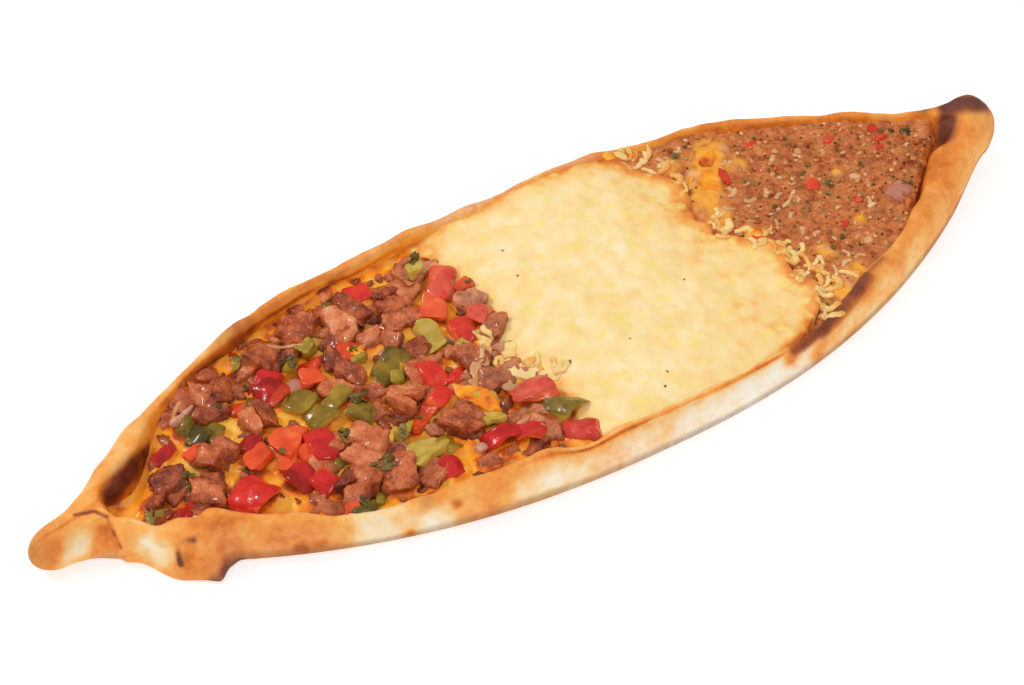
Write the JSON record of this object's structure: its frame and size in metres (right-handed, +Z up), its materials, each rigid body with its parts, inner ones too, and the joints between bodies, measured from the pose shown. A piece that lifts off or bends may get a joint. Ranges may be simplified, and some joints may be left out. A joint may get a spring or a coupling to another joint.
{
  "type": "meat and cheese pie",
  "caption": "Boat-shaped flatbread pie with a raised rim, filled with diced meat and peppers, melted cheese and spiced mince side by side",
  "frame": {"origin": "on the table under the middle of the pie", "axes": "+X along the pie to its raised tip, +Y to the far side, +Z up"},
  "size_m": [0.3946, 0.1261, 0.0257],
  "materials": {
    "crust": "baked wheat dough, floury on the sides and browned on the crest of the rim",
    "cheese_bed": "oily orange-yellow melted cheese under the diced toppings",
    "melted_cheese": "pale creamy melted cheese with yellow specks",
    "mince": "crumbly browned minced meat with oil",
    "meat": "diced braised meat, moist and fibrous",
    "red_pepper": "cooked red pepper with a glossy skin",
    "tomato": "soft cooked tomato, wet",
    "green_pepper": "cooked green pepper, olive and glossy",
    "onion": "translucent cooked onion"
  },
  "bodies": {
    "root": {"crust": "crust", "cheese_bed": "cheese_bed", "melted_cheese": "melted_cheese", "minced_meat": "mince", "meat_01": "meat", "meat_02": "meat", "meat_03": "meat", "meat_04": "meat", "meat_05": "meat", "meat_06": "meat", "meat_07": "meat", "meat_08": "meat", "meat_09": "meat", "meat_10": "meat", "meat_11": "meat", "meat_12": "meat", "meat_13": "meat", "meat_14": "meat", "meat_15": "meat", "meat_16": "meat", "meat_17": "meat", "meat_18": "meat", "meat_19": "meat", "meat_20": "meat", "meat_21": "meat", "meat_22": "meat", "meat_23": "meat", "meat_24": "meat", "meat_25": "meat", "meat_26": "meat", "red_pepper_01": "red_pepper", "red_pepper_02": "red_pepper", "red_pepper_03": "red_pepper", "red_pepper_04": "red_pepper", "red_pepper_05": "red_pepper", "red_pepper_06": "red_pepper", "red_pepper_07": "red_pepper", "red_pepper_08": "red_pepper", "red_pepper_09": "red_pepper", "red_pepper_10": "red_pepper", "red_pepper_11": "red_pepper", "red_pepper_12": "red_pepper", "red_pepper_13": "red_pepper", "red_pepper_14": "red_pepper", "red_pepper_15": "red_pepper", "red_pepper_16": "red_pepper", "tomato_01": "tomato", "tomato_02": "tomato", "green_pepper_01": "green_pepper", "green_pepper_02": "green_pepper", "green_pepper_03": "green_pepper", "green_pepper_04": "green_pepper", "green_pepper_05": "green_pepper", "green_pepper_06": "green_pepper", "green_pepper_07": "green_pepper", "green_pepper_08": "green_pepper", "green_pepper_09": "green_pepper", "onion_01": "onion", "onion_02": "onion"}
  },
  "joints": []
}
